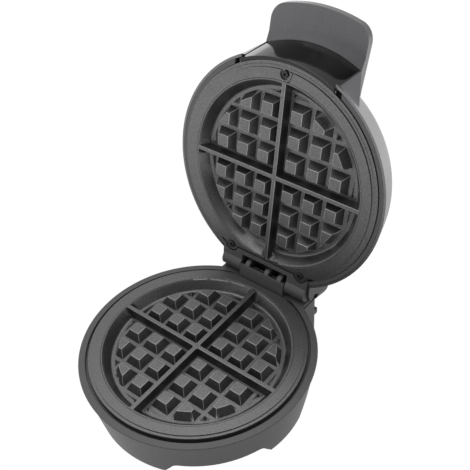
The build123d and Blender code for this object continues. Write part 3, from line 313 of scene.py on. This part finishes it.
# %% Give every node its finish
FINISH_OF = {
    coating: ["lower_plate", "upper_plate"],
    satin: ["base_housing", "lid_shell"],
    moulded: ["base_frame", "lid_frame", "bottom_cover"],
    polished: ["handle_insert"],
    small["black-oxide steel"]: ["upper_plate_screws", "hinge_pin"],
    small["zinc-plated steel"]: [
        "cover_screws",
        "frame_screws",
        "shell_screws",
        "insert_screws",
        "holder_screws",
        "clamp_screws",
        "bracket_screws",
        "lower_reflector_screws",
        "upper_reflector_screws",
    ],
    small["heat-darkened nickel steel"]: ["lower_element", "upper_element"],
    small["aluminised sheet"]: ["lower_reflector", "upper_reflector"],
    small["spring steel"]: [
        "thermostat_bracket",
        "lower_fuse_clip",
        "upper_fuse_clip",
        "lower_fuse",
        "upper_fuse",
    ],
    small["brass"]: ["terminal_screws"],
    small["steatite ceramic"]: ["thermostat", "terminal_block"],
    small["moulded black nylon"]: ["cord_gland", "cord_clamp", "lamp_holder"],
    small["silicone rubber"]: ["foot_pads"],
    small["red polycarbonate"]: ["power_lens"],
    small["green polycarbonate"]: ["ready_lens"],
    small["lamp glass"]: ["pilot_lamps"],
}
for finish, names in FINISH_OF.items():
    for name in names:
        mesh = frame["nodes"][name].data
        mesh.materials.clear()
        mesh.materials.append(finish)
dressed = [name for names in FINISH_OF.values() for name in names]
print("dressed:", len(dressed), "missing:", sorted(set(frame["nodes"]) - set(dressed)))

# %% [markdown]
# ## Softened edges and their painted highlights
# No real edge is sharp. The coat rounds the rims of the pegs to about 0.35 mm, and
# the rounding of each rim takes a lighter finish, a painted highlight that shows as a
# thin bright line. Moulded plastic is rounder: the brim that the hand takes has 1.8 mm
# at its edge. A CAD mesh is loose triangles, so a copy is merged, its flat faces are
# joined again, and a Bevel modifier rounds the edges by the weight that each one is
# given. The copy then stands for the node.
#
# Clamping keeps a bevel from crossing its neighbours, but one short edge then makes
# all of them thin. The plates are bevelled without it, and only on the pegs and the
# ridges, where no edge is short.


# %% Round the edges of a copy
HOLLOW_DEPTH = 9.9  # beyond this the edges are the inner corners of the recess
PEG_FIELD = 79.0  # the pegs and the ridges reach into this circle
# On the handle's wall every rounded edge takes the painted highlight.
INSERT_DEPTH = 50.0  # all the edges of the handle's wall catch the light
WELD = 1e-5  # corners of CAD triangles nearer than this, in metres, are one
FLAT = math.radians(0.6)  # faces that meet flatter than this are one
CORNER = math.radians(28)  # edges sharper than this are rounded
SMOOTH = math.radians(32)  # edges flatter than this are shaded smooth
BRIM_FRONT = -119
BRIM_LOW = 43


def even_shading(piece):
    """Smooths the shallow bends and keeps the flat faces flat."""
    only(piece)
    bpy.ops.object.shade_smooth_by_angle(angle=SMOOTH)
    flats = piece.modifiers.new("flats", "WEIGHTED_NORMAL")
    flats.weight = 100  # the largest face alone sets the direction
    flats.keep_sharp = True
    bpy.ops.object.modifier_apply(modifier=flats.name)


def softened(
    name,
    width_mm,
    body,
    slot,
    wide_mm=0.0,
    is_wide=None,
    highlight_finish=None,
    highlight_depth=HOLLOW_DEPTH,
    segments=2,
    field=None,
):
    """A copy of a CAD node with rounded edges, standing for the node.

    Edges for which is_wide holds get wide_mm. Where a highlight finish is given, the
    rounded edges down to the given depth take it, a painted highlight. Where field is
    given, only edges that reach into a circle of that radius are rounded.
    """
    node = frame["nodes"][name]
    only(node)
    bpy.ops.object.duplicate()
    copy = bpy.context.view_layer.objects.active
    copy.name = name + "_soft"
    copy.parent = None
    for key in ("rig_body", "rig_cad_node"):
        del copy[key]
    only(copy)
    bpy.ops.object.mode_set(mode="EDIT")
    bpy.ops.mesh.select_all(action="SELECT")
    bpy.ops.mesh.remove_doubles(threshold=WELD)
    bpy.ops.mesh.dissolve_limited(angle_limit=FLAT)
    bpy.ops.object.mode_set(mode="OBJECT")
    to_drawing = (LID_PLACE if body == "lid" else BASE_PLACE).inverted()
    shape = bmesh.new()
    shape.from_mesh(copy.data)
    weight = shape.edges.layers.float.new("bevel_weight_edge")
    widest = max(width_mm, wide_mm)
    for edge in shape.edges:
        if len(edge.link_faces) == 2 and edge.calc_face_angle() > CORNER:
            ends = [to_drawing @ vertex.co for vertex in edge.verts]
            if field is not None and all(end.xy.length > field for end in ends):
                continue
            wide = is_wide is not None and all(is_wide(end) for end in ends)
            edge[weight] = (wide_mm if wide else width_mm) / widest
    shape.to_mesh(copy.data)
    shape.free()
    round_over = copy.modifiers.new("round_over", "BEVEL")
    round_over.width = widest * MM
    round_over.segments = segments
    round_over.limit_method = "WEIGHT"
    round_over.use_clamp_overlap = field is None
    # The rounded faces take the highlight finish, a painted highlight; the deep ones lose it
    # below.
    if highlight_finish is not None:
        copy.data.materials.append(highlight_finish)
        round_over.material = 1
    bpy.ops.object.modifier_apply(modifier=round_over.name)
    for face in copy.data.polygons:
        depth = abs((to_drawing @ face.center).z)
        if face.material_index == 1 and depth > highlight_depth:
            face.material_index = 0
    even_shading(copy)
    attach(copy, body)
    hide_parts(name)
    print("softened:", copy.name, len(copy.data.polygons), "faces")
    return copy


def on_brim(point):
    """True for the outer part of the handle's brim."""
    return point.y < BRIM_FRONT and point.z > BRIM_LOW


# The plates' rounded rims take the lighter coat: a painted highlight.
coated = {"slot": "plate_coating", "highlight_finish": edge_highlight_coat, "field": PEG_FIELD}
lower_soft = softened("lower_plate", 0.35, "base", **coated)
upper_soft = softened("upper_plate", 0.35, "lid", **coated)
softened("lid_shell", 0.5, "lid", "housing_plastic", 1.8, on_brim, segments=3)
softened("base_housing", 0.6, "base", "housing_plastic")
softened("base_frame", 0.4, "base", "frame_plastic")
softened("lid_frame", 0.4, "lid", "frame_plastic")
# The rounded edges of the polished wall take the satin paint: a painted highlight, a thin
# bright line along each edge.
softened(
    "handle_insert", 0.4, "lid", "handle_gloss", highlight_finish=satin, highlight_depth=INSERT_DEPTH
)

# %% [markdown]
# ## Grooves and the flange of the plates
# A fine groove runs round each recess, and a short curved one leaves the front screw
# of the upper plate. Both are cut: a torus for the ring, a bevelled curve for the
# other. A cut leaves stray shading behind, so the plates are shaded anew after it. The
# upper plate also has a thin flange under its rim, which closes most of the gap to the
# lid frame and leaves a dark line.


# %% Cut the grooves and add the flange
ROUND_STEPS = 144  # sides of the large circles
GROOVE_CIRCLE = 94.6
GROOVE_RADIUS = 0.35
LID_RIM = 1.0  # rim of the closed upper plate over the lower one
STROKE_RADIUS = 0.75
STROKE_SINK = 0.3
STROKE_ENDS = (
    # a point of the short groove, and the handles before and after it
    ((3.4, -95.2, 0), (1.0, -95, 0), (8.6, -95.8, 0)),
    ((10.6, -106.6, 0), (6.4, -105.6, 0), (14, -107, 0)),
)
FLANGE_OUTER = 110.1
FLANGE_INNER = 106.5
FLANGE_THICK = 1.4
FLANGE_Z = 3.1
FLANGE_REAR = 92  # the flange ends here, in front of the hinge
CUTTER_DEPTH = 4  # thick enough to pass right through
CUTTER_HALF_WIDTH = 120
CUTTER_HALF_LENGTH = 12


def cut_by(target, cutter):
    """Takes a cutter out of a piece and deletes it."""
    cut = target.modifiers.new("cut", "BOOLEAN")
    cut.operation = "DIFFERENCE"
    cut.solver = "EXACT"
    cut.object = cutter
    only(target)
    bpy.ops.object.modifier_apply(modifier=cut.name)
    bpy.data.objects.remove(cutter)


def disc(radius, depth, place, steps=ROUND_STEPS):
    """A cylinder that stands on end, with its place in its mesh."""
    bpy.ops.mesh.primitive_cylinder_add(
        vertices=steps, radius=radius, depth=depth, location=place
    )
    settle()
    return bpy.context.view_layer.objects.active


for plate, place, rim in ((lower_soft, BASE_PLACE, 0.0), (upper_soft, LID_PLACE, LID_RIM)):
    bpy.ops.mesh.primitive_torus_add(
        major_radius=GROOVE_CIRCLE,
        minor_radius=GROOVE_RADIUS,
        major_segments=ROUND_STEPS,
        minor_segments=8,
    )
    ring = bpy.context.view_layer.objects.active
    ring.data.transform(place @ Matrix.Translation((0, 0, rim)))
    before = len(plate.data.polygons)
    cut_by(plate, ring)
    print("groove:", plate.name, before, "to", len(plate.data.polygons), "faces")

bpy.ops.curve.primitive_bezier_curve_add()
stroke = bpy.context.view_layer.objects.active
for end, (point, before, after) in zip(stroke.data.splines[0].bezier_points, STROKE_ENDS):
    end.co = point
    end.handle_left = before
    end.handle_right = after
stroke.data.bevel_depth = STROKE_RADIUS
stroke.data.use_fill_caps = True
only(stroke)
bpy.ops.object.convert(target="MESH")
bpy.ops.object.mode_set(mode="EDIT")
bpy.ops.mesh.select_all(action="SELECT")
bpy.ops.mesh.remove_doubles(threshold=0.001)  # joins the caps to the tube
bpy.ops.mesh.normals_make_consistent(inside=False)
bpy.ops.object.mode_set(mode="OBJECT")
stroke.data.transform(LID_PLACE @ Matrix.Translation((0, 0, LID_RIM + STROKE_SINK)))
stroke.matrix_world = Matrix.Identity(4)
cut_by(upper_soft, stroke)
even_shading(lower_soft)
even_shading(upper_soft)

flange = disc(FLANGE_OUTER, FLANGE_THICK, (0, 0, FLANGE_Z))
cut_by(flange, disc(FLANGE_INNER, CUTTER_DEPTH, (0, 0, FLANGE_Z)))
bpy.ops.mesh.primitive_cube_add(
    size=2, location=(0, FLANGE_REAR + CUTTER_HALF_LENGTH, FLANGE_Z)
)
rear_block = bpy.context.view_layer.objects.active
rear_block.scale = (CUTTER_HALF_WIDTH, CUTTER_HALF_LENGTH, CUTTER_DEPTH)
settle()
cut_by(flange, rear_block)
flange.name = "upper_plate_flange"
flange.data.transform(LID_PLACE)
flange.data.materials.append(coating)
only(flange)
bpy.ops.object.shade_smooth_by_angle(angle=SMOOTH)
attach(flange, "lid")
print("flange:", len(flange.data.polygons), "faces")

# %% [markdown]
# ## Painted shadow lines at the ends of the handle's wall
# A black bead on each side stands for the shadow in the gap between the glossy wall
# and the cheek: a painted shadow. It runs from the lip to the brim and stands half out of the
# surface.

# %% Lay the two beads
BEAD_RADIUS = 0.9
BEAD_SIDE = 50.4
BEAD_LOW = (-102.0, 3.0)  # y and z of the end at the lip
BEAD_HIGH = (-107.0, 41.5)  # y and z of the end at the brim
beads = []
for side in (-1, 1):
    low = Vector((side * BEAD_SIDE, *BEAD_LOW))
    high = Vector((side * BEAD_SIDE, *BEAD_HIGH))
    bpy.ops.mesh.primitive_cylinder_add(
        vertices=16, radius=BEAD_RADIUS, depth=(high - low).length, location=(low + high) / 2
    )
    bead = bpy.context.view_layer.objects.active
    bead.rotation_euler = (high - low).to_track_quat("Z", "Y").to_euler()
    settle()
    beads.append(bead)
only(*beads)
bpy.ops.object.join()
bead = bpy.context.view_layer.objects.active
bead.name = "handle_gap_shadow_beads"
bead.data.transform(LID_PLACE)
# The black rubber finish is the painted shadow of the gap.
bead.data.materials.append(small["silicone rubber"])
bpy.ops.object.shade_smooth_by_angle(angle=SMOOTH)
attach(bead, "lid")
print("beads:", len(bead.data.polygons), "faces")

# %% [markdown]
# ## The screws of the upper plate
# Three pan heads of 7 mm with a cross recess, the way M4 plate screws look. Each
# is a bevelled disc on its shank, and two tapered blades cut the recess.


# %% Make the cross-head screws
HEAD_RADIUS = 3.5
HEAD_HEIGHT = 2.2
HEAD_ROUNDING = 0.8
SHANK_RADIUS = 2.0
SHANK_LENGTH = 7.9
SEAT_RISE = 2.6
CROSS_POINT = 0.6  # radius of a blade at the bottom of the recess
CROSS_REACH = 3.3  # and above the head
CROSS_LENGTH = 2.0
CROSS_SINK = 0.7  # the middle of a blade, below the top of the head
CROSS_THINNESS = 0.24
SCREWS = ((-43, 94, 0.35), (43, 94, 1.1), (0, -101, 0.7))  # x, y, turn of the cross


def cross_screw(spin):
    """A pan-head screw in millimetres, seated at height zero with its head up."""
    bpy.ops.mesh.primitive_cylinder_add(
        vertices=48, radius=HEAD_RADIUS, depth=HEAD_HEIGHT, location=(0, 0, HEAD_HEIGHT / 2)
    )
    head = bpy.context.view_layer.objects.active
    round_over = head.modifiers.new("round_over", "BEVEL")
    round_over.width = HEAD_ROUNDING
    round_over.segments = 4
    bpy.ops.object.modifier_apply(modifier=round_over.name)
    for quarter in (0, math.pi / 2):
        bpy.ops.mesh.primitive_cone_add(
            vertices=4,
            radius1=CROSS_POINT,
            radius2=CROSS_REACH,
            depth=CROSS_LENGTH,
            location=(0, 0, HEAD_HEIGHT - CROSS_SINK),
        )
        blade = bpy.context.view_layer.objects.active
        blade.rotation_euler.z = math.pi / 4
        bpy.ops.object.transform_apply(location=False, rotation=True, scale=False)
        blade.scale.y = CROSS_THINNESS
        blade.rotation_euler.z = quarter + spin
        settle()
        cut_by(head, blade)
    shank = disc(SHANK_RADIUS, SHANK_LENGTH, (0, 0, -SHANK_LENGTH / 2), 24)
    only(head)
    settle()
    only(shank, head)
    bpy.ops.object.join()
    return head


screws = []
turned_over = Matrix.Rotation(math.pi, 4, "X")
for x, y, spin in SCREWS:
    screw = cross_screw(spin)
    screw.data.transform(LID_PLACE @ Matrix.Translation((x, y, SEAT_RISE)) @ turned_over)
    screw.data.materials.append(small["black-oxide steel"])
    screws.append(screw)
only(*screws)
bpy.ops.object.join()
plate_screws = bpy.context.view_layer.objects.active
plate_screws.name = "upper_plate_screws_cross"
bpy.ops.object.shade_smooth_by_angle(angle=SMOOTH)
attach(plate_screws, "lid")
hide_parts("upper_plate_screws")
print("screws:", len(plate_screws.data.polygons), "faces")

# %% [markdown]
# ## Floor and light
# A plain white sweep, a white room, and one wide soft light above. The coat and the
# paint are half mirrors, so it is the room they reflect that makes their greys. To
# the camera the floor is even white. To the object the floor glows as a light, with a
# painted shade close by that stands for the object's own shadow on it, and the sky is
# dimmer on the camera's side, where a photographer's dark room would be.

# %% Floor and lights
FLOOR_SIZE = 12
# The floor's glow runs from GLOW_NEAR to GLOW_FAR between these distances: painted shade near
# the object.
FLOOR_NEAR = 0.14  # metres from the middle
FLOOR_FAR = 0.60
GLOW_NEAR = 0.38
GLOW_FAR = 1.35
CAMERA_SIDE = (0.70, -0.70, 0.14)
SKY_BRIGHT = 0.80  # where the sky is this strong, it faces away from the camera
SKY_DIM = 0.22
DIM_START = 0.25  # cosine of the angle to the camera's side
DIM_END = 0.9
LIGHT_PLACE = Vector((-0.3, 0.2, 1.6))
LIGHT_AIM = Vector((0, 0, 0.1))
LIGHT_SIZE = 1.2
LIGHT_POWER = 6
# The Mix node names its sockets alike for numbers and colours, so they go by place.
MIX_FACTOR = 0
MIX_A = 2
MIX_B = 3

bpy.ops.object.select_all(action="DESELECT")
bpy.ops.mesh.primitive_plane_add(size=FLOOR_SIZE, location=(0, 0, 0))
floor = bpy.context.view_layer.objects.active
floor.name = "studio_floor"
sweep, tree, shader = new_finish("glowing white sweep with painted shade")
shader.inputs["Base Color"].default_value = (0, 0, 0, 1)
shader.inputs["Roughness"].default_value = 1.0
shader.inputs["Emission Color"].default_value = (1, 1, 1, 1)
# The glow grows with the distance from the middle: a painted shade round the object.
spot = add_node(tree, "ShaderNodeTexCoord")
reach = add_node(
    tree, "ShaderNodeVectorMath", {"operation": "LENGTH"}, Vector=spot.outputs["Object"]
)
shaded = add_node(
    tree,
    "ShaderNodeMapRange",
    {"From Min": FLOOR_NEAR, "From Max": FLOOR_FAR, "To Min": GLOW_NEAR, "To Max": GLOW_FAR},
    Value=reach.outputs["Value"],
)
ray = add_node(tree, "ShaderNodeLightPath")
level = add_node(tree, "ShaderNodeMix", {"data_type": "FLOAT"})
tree.links.new(ray.outputs["Is Camera Ray"], level.inputs[MIX_FACTOR])
tree.links.new(shaded.outputs["Result"], level.inputs[MIX_A])
level.inputs[MIX_B].default_value = 1.0
tree.links.new(level.outputs[0], shader.inputs["Emission Strength"])
floor.data.materials.append(sweep)

world = bpy.data.worlds.new("studio")
bpy.context.scene.world = world
world.use_nodes = True
sky = world.node_tree.nodes["Background"]
sky.inputs["Color"].default_value = (1, 1, 1, 1)
direction = add_node(world.node_tree, "ShaderNodeTexCoord")
towards_camera = add_node(
    world.node_tree,
    "ShaderNodeVectorMath",
    {"operation": "DOT_PRODUCT"},
    Vector=direction.outputs["Generated"],
)
towards_camera.inputs[1].default_value = CAMERA_SIDE
dimmed = add_node(
    world.node_tree,
    "ShaderNodeMapRange",
    {"From Min": DIM_START, "From Max": DIM_END, "To Min": SKY_BRIGHT, "To Max": SKY_DIM},
    Value=towards_camera.outputs["Value"],
)
world.node_tree.links.new(dimmed.outputs["Result"], sky.inputs["Strength"])
bpy.context.scene.view_settings.view_transform = "Standard"

lamp_data = bpy.data.lights.new("top_light", "AREA")
lamp_data.size = LIGHT_SIZE
lamp_data.energy = LIGHT_POWER
lamp = bpy.data.objects.new("top_light", lamp_data)
bpy.context.scene.collection.objects.link(lamp)
lamp.location = LIGHT_PLACE
lamp.rotation_euler = (LIGHT_AIM - LIGHT_PLACE).to_track_quat("-Z", "Y").to_euler()
print("studio: one light, one floor")
